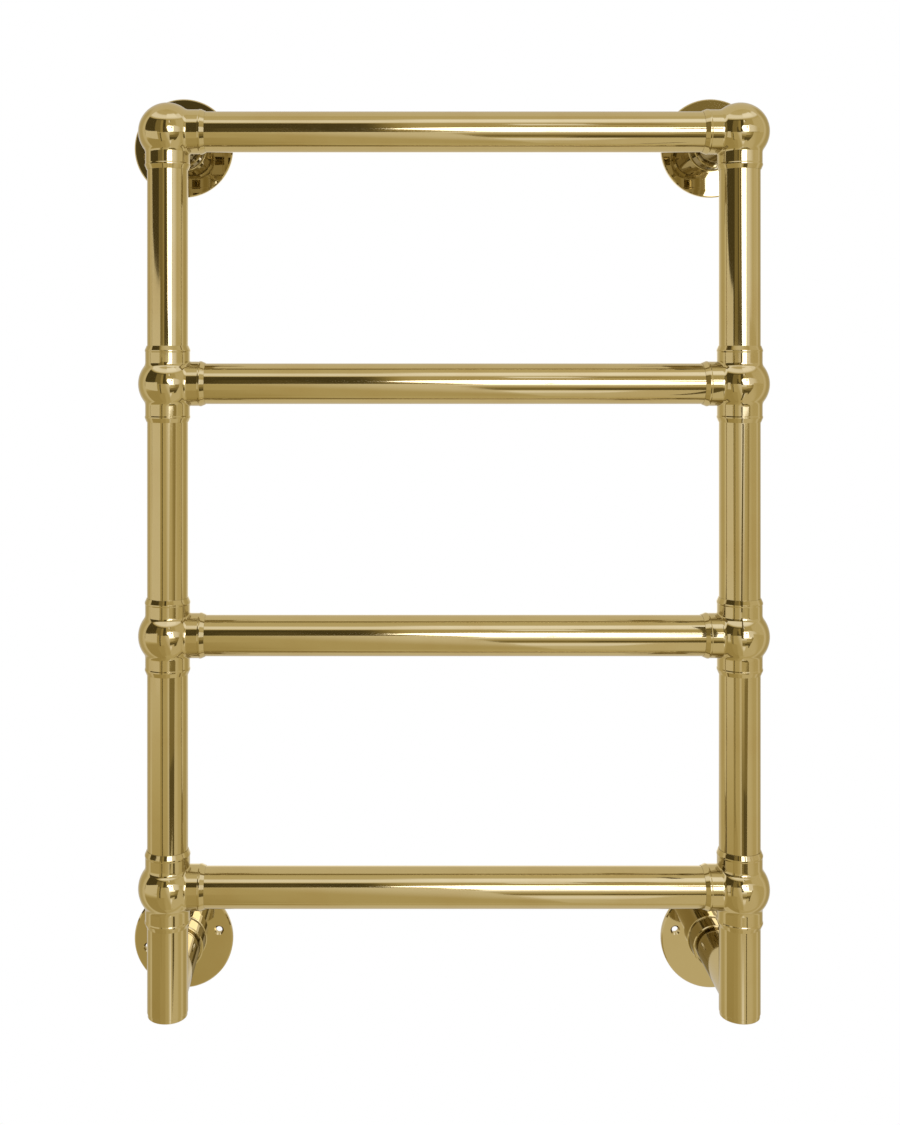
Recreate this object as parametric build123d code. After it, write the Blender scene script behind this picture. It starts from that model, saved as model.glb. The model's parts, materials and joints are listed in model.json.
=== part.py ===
from build123d import *
from math import cos, pi, radians, sin, sqrt
import os

# Ball-jointed electric towel rail, in millimetres.
# +X is to the viewer's right, +Y goes into the wall and +Z is up.
# The wall is the plane Y = 0. The origin is the middle of the four inboard wall screws.

# Frame of the rail
stile_centres = 450.0        # between the axes of the two uprights
bar_pitch = 198.0            # between the axes of neighbouring bars
bar_count = 4
wall_to_tube = 100.0         # wall to the axis of every bar and upright
tube_radius = 16.0
tube_wall = 1.5
fixing_height = 675.0        # between the axes of the upper and lower stays
leg_length = 97.5            # bottom bar's axis to the lower end of each leg tube

# Ball fittings
ball_radius = 23.0
socket_radius = 17.5         # plain part of a socket
lip_radius = 17.8            # the slight swelling at its mouth
mouth_radius = 16.4          # where the lip's bevel meets the tube
socket_reach = 30.0          # ball centre to the mouth of each socket
lip_length = 5.2
lip_rise = 0.8               # length of the slope up to the lip
lip_bevel = 3.4
tube_stop = 17.0             # ball centre to the shoulder that a tube's end rests on
braze_gap = 0.05

# Wall flanges
flange_radius = 42.0
flange_thickness = 5.0
rim_bevel = 1.0
collar_radius = 18.8
collar_reach = 23.0          # wall to the mouth of the collar
collar_lip = 0.7
collar_root = 1.2
stay_clearance = 0.08        # radial, so that the flange turns on its stay
bore_floor = 3.0
stay_end_gap = 3.0
mouth_ring_radius = 17.2     # the open ring around the stay
mouth_ring_depth = 3.0
screw_circle = 62.0
screw_hole_radius = 2.75
countersink_radius = 4.1
flange_turn = 13.5           # degrees that the inboard screw hole stands above the stay

# Locking screw of each flange
grub_radius = 2.5
grub_length = 2.3
grub_recess = 0.35           # how far its end lies below the collar's surface
grub_from_wall = 14.0
grub_hex = 2.5
grub_hex_depth = 1.2
thread_gap = 0.05

# Ends of the legs
end_rim_radius = 15.5
end_rim_length = 3.5
end_rim_bevel = 0.6
bush_length = 20.0           # inside the leg tube
port_radius = 9.5            # stands in for the G 1/2 thread
seat_radius = 12.6
seat_depth = 4.0
head_radius = 12.3
head_thickness = 2.4
head_recess = 0.3
washer_inner_radius = 9.8
plug_length = 12.0
plug_hex = 10.0
plug_hex_depth = 8.0

# Heating element in the right leg
element_body_length = 18.0   # end of the leg to the top of the element's screwed body
cable_bore_radius = 3.6
gland_radius = 6.0
gland_length = 8.0
sheath_radius = 6.0
sheath_wall = 0.7
sheath_start = 12.0          # each of these is measured up from the end of the leg
sheath_end = 251.0
sheath_cap = 1.5             # thickness and bevel of its closed end
end_seal_span = (14.0, 20.0)
cutout_span = (26.0, 35.0)
lower_disc_span = (56.0, 60.0)
coil_start = 63.0
core_end = 238.0
upper_disc_length = 4.0
cutout_radius = 1.5
lead_radius = 0.5
disc_clearance = 0.1
core_radius = 2.6
coil_wire_radius = 0.3
coil_gap = 0.02              # between the wire and the pieces that it lies against
coil_turns = 24
earth_pin_radius = 1.3
earth_pin_offset = 4.5       # from the element's axis, so that it meets the sheath's rim
earth_pin_length = 3.0

# Places that follow from the sizes above
axis_y = -wall_to_tube
half_width = stile_centres / 2
hole_rise = screw_circle / 2 * sin(radians(flange_turn))
upper_stay_z = fixing_height / 2 - hole_rise
lower_stay_z = -fixing_height / 2 - hole_rise
bar_z = [upper_stay_z - bar_pitch * i for i in range(bar_count)]
leg_end_z = bar_z[-1] - leg_length
end_z = leg_end_z - end_rim_length
stay_end_y = -bore_floor - stay_end_gap
bore_radius = tube_radius - tube_wall
coil_outer = core_radius + coil_gap + 2 * coil_wire_radius
coil_end = core_end - coil_gap - coil_wire_radius
bridge_z = core_end + lead_radius
overshoot = 1.0              # how far a cutting shape runs past the faces that it cuts
sides = {"left": -1, "right": 1}
bar_names = ["top", "second", "third", "bottom"]
upright_names = ["top", "middle", "lower"]

parts = {}


def axis_plane(origin, direction):
    """A plane at origin whose normal is the way that a turned piece points."""
    return Plane(origin=origin, z_dir=direction)


def turned(outline, origin, direction):
    """A solid of revolution: outline is a list of (radius, distance along the axis)."""
    with BuildSketch(Plane.XZ) as sketch:
        with BuildLine():
            Polyline(*outline, close=True)
        make_face()
    solid = revolve(sketch.sketch, Axis.Z)
    return axis_plane(origin, direction) * solid


def rod(radius, start, end, origin, direction):
    """A plain round bar between two distances along the axis."""
    return turned([(0, start), (radius, start), (radius, end), (0, end)], origin, direction)


def pipe(outer, inner, start, end, origin, direction):
    """A plain round tube between two distances along the axis."""
    return turned([(inner, start), (outer, start), (outer, end), (inner, end)], origin, direction)


def rail_tube(start, end, origin, direction):
    return pipe(tube_radius, bore_radius, start, end, origin, direction)


def hexagon(across_flats, start, end, origin, direction):
    """A hexagonal bar, for the key sockets."""
    sketch = RegularPolygon(across_flats / 2, 6, major_radius=False)
    solid = Pos(0, 0, start) * extrude(sketch, end - start)
    return axis_plane(origin, direction) * solid


def socket_outside(centre, direction):
    """A socket: a plain sleeve, a slightly raised lip and a bevel down to the tube."""
    outline = [
        (0, 0),
        (socket_radius, 0),
        (socket_radius, socket_reach - lip_length),
        (lip_radius, socket_reach - lip_length + lip_rise),
        (lip_radius, socket_reach - lip_bevel),
        (mouth_radius, socket_reach),
        (0, socket_reach),
    ]
    return turned(outline, centre, direction)


def ball_fitting(centre, waterways, blind=()):
    """A ball with sockets. The waterways meet in its middle. A blind socket has a solid floor."""
    directions = [*waterways, *blind]
    past = socket_reach + overshoot
    body = Pos(*centre) * Sphere(ball_radius)
    for direction in directions:
        body = body + socket_outside(centre, direction)
    for direction in directions:
        body = body - rod(tube_radius + braze_gap, tube_stop, past, centre, direction)
    for direction in waterways:
        body = body - rod(bore_radius, 0, past, centre, direction)
    body = body - Pos(*centre) * Sphere(bore_radius)
    return body


def make_ball_fittings(side, x, inward):
    """The corner ball holds a stay in a blind socket, and the three below it are tees."""
    up = (0, 0, 1)
    down = (0, 0, -1)
    back = (0, 1, 0)
    centres = [(x, axis_y, z) for z in bar_z]
    parts[f"top_{side}_corner_ball"] = ball_fitting(centres[0], [down, inward], [back])
    for name, centre in zip(bar_names[1:], centres[1:]):
        parts[f"{name}_{side}_tee_ball"] = ball_fitting(centre, [up, down, inward])


def make_uprights(side, x):
    for name, z in zip(upright_names, bar_z[1:]):
        start = tube_stop
        end = bar_pitch - tube_stop
        parts[f"{name}_{side}_upright"] = rail_tube(start, end, (x, axis_y, z), (0, 0, 1))


def make_bars():
    for name, z in zip(bar_names, bar_z):
        start = tube_stop
        end = stile_centres - tube_stop
        parts[f"{name}_bar"] = rail_tube(start, end, (-half_width, axis_y, z), (1, 0, 0))


def make_leg(side, x):
    centre = (x, axis_y, bar_z[-1])
    parts[f"{side}_leg"] = rail_tube(tube_stop, leg_length, centre, (0, 0, -1))


def make_stays(side, x):
    """The upper stay is plugged into the corner ball. The lower one is coped to the leg's back."""
    to_wall = (0, 1, 0)
    length = stay_end_y - axis_y
    upper = (x, axis_y, upper_stay_z)
    lower = (x, axis_y, lower_stay_z)
    parts[f"top_{side}_stay"] = rail_tube(tube_stop, length, upper, to_wall)
    leg_outside = rod(tube_radius, -2 * tube_radius, 2 * tube_radius, lower, (0, 0, 1))
    parts[f"bottom_{side}_stay"] = rail_tube(0, length, lower, to_wall) - leg_outside


def flange_outline():
    """Half section of the flange, from the wall face out: (radius, distance from the wall)."""
    bore = tube_radius + stay_clearance
    return [
        (0, 0),
        (flange_radius - rim_bevel / 2, 0),
        (flange_radius, rim_bevel / 2),
        (flange_radius, flange_thickness - rim_bevel),
        (flange_radius - rim_bevel, flange_thickness),
        (collar_radius + collar_root, flange_thickness),
        (collar_radius, flange_thickness + collar_root),
        (collar_radius, collar_reach - collar_lip),
        (collar_radius - collar_lip, collar_reach),
        (mouth_ring_radius, collar_reach),
        (mouth_ring_radius, collar_reach - mouth_ring_depth),
        (bore, collar_reach - mouth_ring_depth),
        (bore, bore_floor),
        (0, bore_floor),
    ]


def screw_hole_outline():
    """Half section of a countersunk hole, cut a little past both faces."""
    sink = countersink_radius - screw_hole_radius
    return [
        (0, -overshoot),
        (screw_hole_radius, -overshoot),
        (screw_hole_radius, flange_thickness - sink),
        (countersink_radius + overshoot, flange_thickness + overshoot),
        (0, flange_thickness + overshoot),
    ]


def make_flange(side, level, x, z, inward_x):
    """A flange and its locking screw, turned about the stay by flange_turn."""
    to_room = (0, -1, 0)
    turn = radians(flange_turn)
    along = (inward_x * cos(turn), 0, sin(turn))
    across = (inward_x * sin(turn), 0, -cos(turn))
    centre = (x, 0, z)
    flange = turned(flange_outline(), centre, to_room)
    for end in (-1, 1):
        reach = end * screw_circle / 2
        hole_centre = (x + along[0] * reach, 0, z + along[2] * reach)
        flange = flange - turned(screw_hole_outline(), hole_centre, to_room)
    screw_start = (x, -grub_from_wall, z)
    past = collar_radius + overshoot
    flange = flange - rod(grub_radius, tube_radius, past, screw_start, across)
    grub_outer = collar_radius - grub_recess
    grub = rod(grub_radius - thread_gap, grub_outer - grub_length, grub_outer, screw_start, across)
    socket_start = grub_outer - grub_hex_depth
    grub = grub - hexagon(grub_hex, socket_start, past, screw_start, across)
    parts[f"{level}_{side}_wall_flange"] = flange
    parts[f"{level}_{side}_grub_screw"] = grub


def make_end_bush(side, x):
    """The threaded bush brazed into the lower end of a leg. Its rim shows below the tube."""
    up = (0, 0, 1)
    spigot = bore_radius - braze_gap
    outline = [
        (seat_radius, 0),
        (end_rim_radius - end_rim_bevel, 0),
        (end_rim_radius, end_rim_bevel),
        (end_rim_radius, end_rim_length),
        (spigot, end_rim_length),
        (spigot, end_rim_length + bush_length),
        (port_radius, end_rim_length + bush_length),
        (port_radius, seat_depth),
        (seat_radius, seat_depth),
    ]
    parts[f"{side}_leg_end_bush"] = turned(outline, (x, axis_y, end_z), up)


def sealing_washer(x):
    start = head_recess + head_thickness
    return pipe(head_radius, washer_inner_radius, start, seat_depth, (x, axis_y, end_z), (0, 0, 1))


def screwed_head(length, x):
    """A round head in the bush's seat with a threaded body above it, drawn without the thread."""
    body = port_radius - thread_gap
    outline = [
        (0, head_recess),
        (head_radius, head_recess),
        (head_radius, head_recess + head_thickness),
        (body, head_recess + head_thickness),
        (body, length),
        (0, length),
    ]
    return turned(outline, (x, axis_y, end_z), (0, 0, 1))


def make_blanking_plug(x):
    origin = (x, axis_y, end_z)
    plug = screwed_head(seat_depth + plug_length, x)
    plug = plug - hexagon(plug_hex, -overshoot, head_recess + plug_hex_depth, origin, (0, 0, 1))
    parts["blanking_plug"] = plug
    parts["plug_sealing_washer"] = sealing_washer(x)


def helix_point(angle, radius, pitch, start):
    """A point of the coil's centre line, and the way the wire runs there."""
    place = Vector(radius * cos(angle), radius * sin(angle), start + pitch * angle / (2 * pi))
    heading = Vector(-radius * sin(angle), radius * cos(angle), pitch / (2 * pi))
    return place, heading.normalized()


def biarc(begin, begin_heading, finish, finish_heading):
    """Two arcs that leave begin, meet smoothly half way and arrive at finish."""
    chord = finish - begin
    headings = begin_heading + finish_heading
    spread = 2 * (1 - begin_heading.dot(finish_heading))
    along = chord.dot(headings)
    arm = (sqrt(along * along + spread * chord.dot(chord)) - along) / spread
    before = begin + begin_heading * arm
    after = finish - finish_heading * arm
    middle = (before + after) * 0.5
    middle_heading = (after - before).normalized()
    first = Edge.make_tangent_arc(begin, begin_heading, middle)
    second = Edge.make_tangent_arc(middle, middle_heading, finish)
    return [first, second]


def coil_path(radius, start, end, turns):
    """A helix as tangent arcs, two for each quarter turn."""
    pitch = (end - start) / turns
    quarters = 4 * turns
    corners = [helix_point(i * pi / 2, radius, pitch, start) for i in range(quarters + 1)]
    arcs = []
    for begin, finish in zip(corners, corners[1:]):
        arcs += biarc(*begin, *finish)
    return Wire(arcs)


def least_turn_gap(path, turns):
    """The least distance between one turn's centre line and the next, less the wire, on points."""
    per_turn = 48
    points = [path @ (i / (turns * per_turn)) for i in range(turns * per_turn + 1)]
    nearest = min(
        (points[i] - points[j]).length
        for i in range(per_turn)
        for j in range(i + per_turn // 2, i + 2 * per_turn)
    )
    return nearest - 2 * coil_wire_radius


def make_heating_coil(origin):
    """Resistance wire wound on the ceramic core, kept clear of it by coil_gap."""
    radius = coil_outer - coil_wire_radius
    path = coil_path(radius, coil_start, coil_end, coil_turns)
    section = Plane(origin=path @ 0, z_dir=path % 0) * Circle(coil_wire_radius)
    print("heating coil: least gap between turns", round(least_turn_gap(path, coil_turns), 2), "mm")
    parts["heating_coil"] = Pos(*origin) * sweep(section, path)


def make_element_inside(origin):
    """What the sheath holds: two ceramic discs, the wound core, conductors and the cut-out."""
    up = (0, 0, 1)
    inside = sheath_radius - sheath_wall - disc_clearance
    pin_x = coil_outer + coil_gap + lead_radius
    pin_origin = (origin[0] + pin_x, origin[1], origin[2])
    lead_hole = lead_radius + thread_gap

    def disc(span):
        return rod(inside, span[0], span[1], origin, up)

    def hole(at, span):
        return rod(lead_hole, span[0] - overshoot, span[1] + overshoot, at, up)

    seal = disc(end_seal_span) - hole(origin, end_seal_span) - hole(pin_origin, end_seal_span)
    parts["element_end_seal"] = seal
    lower = disc(lower_disc_span) - hole(origin, lower_disc_span) - hole(pin_origin, lower_disc_span)
    parts["lower_ceramic_disc"] = lower
    upper_start = bridge_z + lead_radius
    parts["upper_ceramic_disc"] = disc((upper_start, upper_start + upper_disc_length))
    core_start = lower_disc_span[1]
    parts["ceramic_core"] = pipe(core_radius, lead_hole, core_start, core_end, origin, up)

    cutout = rod(cutout_radius, cutout_span[0], cutout_span[1], pin_origin, up)
    cutout = cutout + rod(lead_radius, sheath_start, cutout_span[0], pin_origin, up)
    parts["thermal_cutout"] = cutout
    pin_end = coil_start + 2 * coil_wire_radius
    parts["live_terminal_pin"] = rod(lead_radius, cutout_span[1], pin_end, pin_origin, up)
    neutral = rod(lead_radius, sheath_start, bridge_z + lead_radius, origin, up)
    bridge_origin = (origin[0], origin[1], origin[2] + bridge_z)
    neutral = neutral + rod(lead_radius, 0, coil_outer, bridge_origin, (1, 0, 0))
    parts["neutral_conductor"] = neutral


def make_heating_element(x):
    """The immersion element: a screwed head, a closed sheath and everything inside it."""
    up = (0, 0, 1)
    origin = (x, axis_y, end_z)
    head_bore = gland_radius + braze_gap
    head = screwed_head(element_body_length, x)
    head = head - rod(head_bore, -overshoot, element_body_length + overshoot, origin, up)
    parts["element_head"] = head
    parts["element_sealing_washer"] = sealing_washer(x)
    inner = sheath_radius - sheath_wall
    outline = [
        (inner, sheath_start),
        (sheath_radius, sheath_start),
        (sheath_radius, sheath_end - sheath_cap),
        (sheath_radius - sheath_cap, sheath_end),
        (0, sheath_end),
        (0, sheath_end - sheath_cap),
        (inner, sheath_end - sheath_cap),
    ]
    parts["element_sheath"] = turned(outline, origin, up)
    gland_end = head_recess + gland_length
    gland = pipe(gland_radius, cable_bore_radius, head_recess, gland_end, origin, up)
    parts["cable_gland"] = gland
    earth_origin = (x - earth_pin_offset, axis_y, end_z)
    earth_start = sheath_start - earth_pin_length
    parts["earth_terminal"] = rod(earth_pin_radius, earth_start, sheath_start, earth_origin, up)
    make_element_inside(origin)
    make_heating_coil(origin)


def build():
    make_bars()
    for side, sign in sides.items():
        x = sign * half_width
        make_ball_fittings(side, x, (-sign, 0, 0))
        make_uprights(side, x)
        make_leg(side, x)
        make_stays(side, x)
        make_flange(side, "top", x, upper_stay_z, -sign)
        make_flange(side, "bottom", x, lower_stay_z, -sign)
        make_end_bush(side, x)
    make_blanking_plug(-half_width)
    make_heating_element(half_width)


build()
os.makedirs("parts", exist_ok=True)
for node, shape in parts.items():
    export_step(shape, f"parts/{node}.step")
print(len(parts), "nodes")
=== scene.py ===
# %% [markdown]
# # A ball-jointed towel rail in polished brass
# The real object is a ladder of brass tube. Ball fittings join its four bars to its two
# uprights, and four round flanges hold it off the wall. The CAD model gives every piece its
# place and size. This lesson gives the same pieces smooth surfaces and a mirror polish.
#
# A mirror polish shows every facet, so each visible piece is rebuilt as a fine surface whose
# normals come from its formula. The CAD pieces that nobody sees keep their own meshes.

import json
from math import atan, cos, pi, radians, sin

import bpy
import numpy as np
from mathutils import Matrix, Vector


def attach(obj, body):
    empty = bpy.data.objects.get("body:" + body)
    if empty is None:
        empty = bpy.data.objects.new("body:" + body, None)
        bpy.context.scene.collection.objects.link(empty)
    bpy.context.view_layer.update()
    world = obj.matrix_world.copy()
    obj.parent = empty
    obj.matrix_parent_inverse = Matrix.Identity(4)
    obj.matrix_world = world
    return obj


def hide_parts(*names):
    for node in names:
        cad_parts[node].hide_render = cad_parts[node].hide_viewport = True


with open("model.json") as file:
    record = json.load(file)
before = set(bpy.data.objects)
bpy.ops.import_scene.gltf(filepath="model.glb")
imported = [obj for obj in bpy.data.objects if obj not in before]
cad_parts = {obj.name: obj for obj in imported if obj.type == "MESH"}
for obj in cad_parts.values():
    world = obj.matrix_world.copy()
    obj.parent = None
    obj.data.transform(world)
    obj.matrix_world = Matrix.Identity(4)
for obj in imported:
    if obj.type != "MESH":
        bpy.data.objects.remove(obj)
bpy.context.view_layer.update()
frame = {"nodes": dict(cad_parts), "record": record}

# %% [markdown]
# ## Sizes
# These are the real sizes in millimetres, the same as in the CAD source. +X is to the viewer's
# right, +Y goes into the wall and +Z is up. The wall is the plane Y = 0.

# %% Sizes of the rail
stile_centres = 450.0
bar_pitch = 198.0
wall_to_tube = 100.0
tube_radius = 16.0
bore_radius = 14.5
fixing_height = 675.0
leg_length = 97.5
ball_radius = 23.0
socket_radius = 17.5
lip_radius = 17.8
mouth_radius = 16.4
socket_reach = 30.0
lip_start = 24.8
lip_top = 25.6
bevel_start = 26.6
tube_stop = 17.0
braze_gap = 0.05
screw_circle = 62.0
flange_turn = radians(13.5)
end_rim_length = 3.5

axis_y = -wall_to_tube
half_width = stile_centres / 2
hole_rise = screw_circle / 2 * sin(flange_turn)
upper_stay_z = fixing_height / 2 - hole_rise
lower_stay_z = -fixing_height / 2 - hole_rise
bar_names = ["top", "second", "third", "bottom"]
bar_z = [upper_stay_z - bar_pitch * i for i in range(4)]
end_z = bar_z[-1] - leg_length - end_rim_length
sides = {"left": -1, "right": 1}
x_axis, y_axis, z_axis = np.eye(3)
print("bars at", [round(z, 1) for z in bar_z], "mm")

# %% [markdown]
# ## From formula to mesh
# A surface here is a patch: a grid of points with a normal at each. A piece is several patches
# whose edges meet. They are joined by merging points that coincide, and every corner of every
# triangle keeps the normal of its own patch. So a bevel stays crisp, a cylinder stays smooth
# and the mesh is closed. The other way, smooth shading with an edge split, would bend the
# reflections near every edge.

# %% Join patches into one closed mesh
MM = 0.001
segments = 160
weld_nudge = 0.000123           # keeps round numbers clear of a rounding's limit


def patch(points, normals, wrap=True):
    """A grid of points and normals. wrap joins the last column to the first."""
    points, normals = np.broadcast_arrays(points, normals)
    return points, normals, wrap


def patch_triangles(shape, wrap):
    """Two triangles for each cell of the grid, as indices into its points in reading order."""
    rows, cols = shape[:2]
    i = np.arange(rows - 1)[:, None]
    j = np.arange(cols if wrap else cols - 1)[None, :]
    k = (j + 1) % cols
    a, b, c, d = i * cols + j, i * cols + k, (i + 1) * cols + k, (i + 1) * cols + j
    cells = [np.stack(corner, -1).reshape(-1, 3) for corner in ((a, b, c), (a, c, d))]
    return np.concatenate(cells)


def joined(patches):
    """Points, triangles and corner normals of all patches together.
    Points closer than a micrometre are one point. A triangle that collapses is left out, and
    one whose winding disagrees with its normals is turned round."""
    points = np.concatenate([p.reshape(-1, 3) for p, n, wrap in patches])
    normals = np.concatenate([n.reshape(-1, 3) for p, n, wrap in patches])
    start, triangles = 0, []
    for p, n, wrap in patches:
        triangles.append(patch_triangles(p.shape, wrap) + start)
        start += p.shape[0] * p.shape[1]
    triangles = np.concatenate(triangles)
    _, first, same = np.unique(
        np.round(points + weld_nudge, 3), axis=0, return_index=True, return_inverse=True
    )
    welded = same.reshape(-1)[triangles]
    whole = np.all(welded != np.roll(welded, 1, 1), 1)
    triangles, welded = triangles[whole], welded[whole]
    places = points[first]
    a, b, c = (places[welded[:, i]] for i in range(3))
    facing = np.einsum("ij,ij->i", np.cross(b - a, c - a), normals[triangles].sum(1))
    turned_round = facing < 0
    welded[turned_round] = welded[turned_round][:, ::-1]
    triangles[turned_round] = triangles[turned_round][:, ::-1]
    return places, welded, normals[triangles].reshape(-1, 3)


def new_object(name, data):
    """An object at the origin, put into the scene."""
    thing = bpy.data.objects.new(name, data)
    bpy.context.scene.collection.objects.link(thing)
    return thing


def make_piece(name, patches, body, slot, material, replaces):
    """A Blender object from patches, at the origin, riding on a CAD body in place of CAD nodes."""
    places, triangles, corner_normals = joined(patches)
    mesh = bpy.data.meshes.new(name)
    mesh.vertices.add(len(places))
    mesh.vertices.foreach_set("co", (places * MM).astype(np.float32).ravel())
    mesh.loops.add(triangles.size)
    mesh.loops.foreach_set("vertex_index", triangles.astype(np.int32).ravel())
    mesh.polygons.add(len(triangles))
    mesh.polygons.foreach_set("loop_start", np.arange(0, triangles.size, 3, dtype=np.int32))
    mesh.polygons.foreach_set("use_smooth", np.ones(len(triangles), bool))
    mesh.update(calc_edges=True)
    mesh.normals_split_custom_set(corner_normals.astype(np.float32))
    mesh.materials.append(material)
    piece = new_object(name, mesh)
    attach(piece, body)
    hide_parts(*replaces)
    sides_of = np.sort(triangles[:, [0, 1, 1, 2, 2, 0]].reshape(-1, 2), 1)
    _, uses = np.unique(sides_of, axis=0, return_counts=True)
    open_edges = int((uses != 2).sum())
    state = f"{open_edges} open edges" if open_edges else "closed"
    print(f"{name}: {len(triangles)} triangles, {state}")


# %% [markdown]
# ## Turned pieces
# Tubes, bushes and plugs are turned: a half section is carried once round an axis. The section
# is a polygon of radius and height. Each corner may be rounded a little, because a real edge
# catches a thin line of light there.

# %% Half sections and turning
def circle(angle):
    """The point (cos a, sin a) of the unit circle for each angle."""
    return np.stack([np.cos(angle), np.sin(angle)], -1)


def raised(flat, height):
    """(x, y) points lifted to (x, y, height)."""
    return np.concatenate([flat, np.full(flat.shape[:-1] + (1,), height)], -1)


def rounded_section(corners, steps=5):
    """Points and outward normals along a polygon of (radius, height, rounding).
    A corner with rounding r becomes an arc that touches both sides at r * tan(turn / 2) from it.
    A sharp corner is given twice, once with the normal of each side."""
    corners = np.array([(c + (0.0,))[:3] for c in corners], float)
    spots, rounding = corners[:, :2], corners[:, 2]
    ahead = np.roll(spots, -1, 0) - spots
    ahead /= np.linalg.norm(ahead, axis=1)[:, None]
    area = np.sum(spots[:, 0] * np.roll(spots[:, 1], -1) - np.roll(spots[:, 0], -1) * spots[:, 1])
    outward = np.sign(area) * np.stack([ahead[:, 1], -ahead[:, 0]], 1)
    points, normals = [], []
    for i, spot in enumerate(spots):
        before, after = outward[i - 1], outward[i]
        come, go = ahead[i - 1], ahead[i]
        turn = np.arctan2(come[0] * go[1] - come[1] * go[0], come @ go)
        if rounding[i] == 0 or abs(turn) < 1e-6:
            points += [spot, spot]
            normals += [before, after]
            continue
        side = np.sign(turn) * np.sign(area)
        centre = spot - come * rounding[i] * abs(np.tan(turn / 2)) - before * rounding[i] * side
        for angle in np.linspace(0, turn, steps + 1):
            normal = np.array([[cos(angle), -sin(angle)], [sin(angle), cos(angle)]]) @ before
            points.append(centre + normal * rounding[i] * side)
            normals.append(normal)
    return np.array(points), np.array(normals)


def axes_for(direction, right=None):
    """Three unit vectors: a right-hand set whose last is direction."""
    direction = np.array(direction, float)
    if right is None:
        right = x_axis if abs(direction[0]) < 0.5 else z_axis
    right = np.array(right, float)
    return np.stack([right, np.cross(direction, right), direction])


def turned(points, normals, origin, axes, count=segments):
    """Carries (radius, height) pairs round the axis, to (radius cos a, radius sin a, height)."""
    ring = circle(np.arange(count) * 2 * pi / count)

    def spun(pairs):
        across = pairs[:, None, :1] * ring[None]
        up = np.broadcast_to(pairs[:, None, 1:], across.shape[:2] + (1,))
        return np.concatenate([across, up], 2) @ axes

    return patch(spun(points) + origin, spun(normals))


def turned_loop(corners, origin, axes):
    """A whole turned piece from a closed section that stays off the axis."""
    points, normals = rounded_section(corners)
    points = np.concatenate([points, points[:1]])
    normals = np.concatenate([normals, normals[:1]])
    return turned(points, normals, origin, axes)


def part_of_section(corners, closing):
    """A rounded section along its corners only. The closing corners lead back through the metal,
    which tells the side that is outward."""
    points, normals = rounded_section(corners + closing)
    start = np.argmin(np.linalg.norm(points - corners[0][:2], axis=1))
    stop = len(points) - np.argmin(np.linalg.norm(points - corners[-1][:2], axis=1)[::-1])
    return points[start:stop], normals[start:stop]


# %% [markdown]
# ## The tubes
# Each tube is drawn brass, 32 mm across with a 1.5 mm wall, cut square with a broken edge. Its
# ends are inside the ball fittings.

# %% Tubes
edge_break = 0.3
cope_rings = 7


def tube_patches(start, end, origin, direction):
    """A tube from start to end along direction, as a turned section with four broken edges."""
    section = [
        (bore_radius, start, edge_break),
        (tube_radius, start, edge_break),
        (tube_radius, end, edge_break),
        (bore_radius, end, edge_break),
    ]
    return [turned_loop(section, np.array(origin, float), axes_for(direction))]


def coped_patches(end, origin):
    """A lower stay: from the leg's round back at y = sqrt(16^2 - x^2) to the end in the flange.
    The mouth's rings close up outwards, where the leg's round side falls away steeply."""
    angle = np.arange(segments) * 2 * pi / segments
    round_x, round_z = np.cos(angle), np.sin(angle)
    outward = np.stack([round_x, 0 * angle, round_z], 1)

    def ring(radius, height):
        height = np.broadcast_to(height, angle.shape)
        return np.stack([radius * round_x, height, radius * round_z], 1) + origin

    def on_leg(radius):
        return ring(radius, np.sqrt(np.maximum(tube_radius**2 - (radius * round_x) ** 2, 0)))

    broken = end - edge_break
    rim = [ring(tube_radius, broken), ring(tube_radius - edge_break, end), ring(bore_radius, end)]
    steps = 1 - np.linspace(1, 0, cope_rings) ** 2
    mouth = [on_leg(bore_radius + t * (tube_radius - bore_radius)) for t in steps]
    return [
        patch(np.stack([on_leg(tube_radius), ring(tube_radius, broken)]), outward),
        patch(np.stack(rim), y_axis),
        patch(np.stack([ring(bore_radius, end), on_leg(bore_radius)]), -outward),
        patch(np.stack(mouth), -y_axis),
    ]


# %% [markdown]
# ## The ball fittings
# A fitting is a ball with a socket for each tube. Seen from its centre, every point of its skin
# lies in one direction only, so the skin is a distance for each direction: the ball's radius,
# or a socket's cylinder where that is further out. A smooth maximum of the two leaves the small
# hollow curve that a casting has where they meet.
#
# Directions are shared out like the faces of a dice. A face without a socket is a square grid.
# A face with a socket is a set of rings, from the square's edge along the socket to its lip,
# over the bevel and down its bore.

# %% The skin of a ball fitting
face_steps = segments // 4
hollow_curve = 1.3
ring_start = 20.0
skin_rows = 15
slope_step = 0.02


def smooth_max(a, b, width):
    """The larger of a and b, rounded where they differ by less than width."""
    share = np.clip(0.5 + 0.5 * (a - b) / width, 0, 1)
    return b + share * (a - b) + width * share * (1 - share)


def skin_distance(directions, sockets, ball, cylinder, curve):
    """Distance from the centre to the skin: the smooth maximum of ball and cylinder / sin(angle)."""
    reach = np.full(directions.shape[:-1], ball)
    for socket in sockets:
        along = directions @ socket
        across = np.sqrt(np.maximum(1 - along**2, 1e-9))
        side = np.where(along > 0, cylinder / across, 0)
        reach = smooth_max(reach, side, curve) if curve else np.maximum(reach, side)
    return reach


def skin(directions, sockets, ball, cylinder, curve):
    """Points on the skin, with normals from the slope of distance minus skin_distance."""
    points = directions * skin_distance(directions, sockets, ball, cylinder, curve)[..., None]

    def height(places):
        length = np.linalg.norm(places, axis=-1)
        return length - skin_distance(places / length[..., None], sockets, ball, cylinder, curve)

    slope = [height(points + e) - height(points - e) for e in slope_step * np.eye(3)]
    normals = np.stack(slope, -1)
    return points, normals / np.linalg.norm(normals, axis=-1)[..., None]


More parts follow.
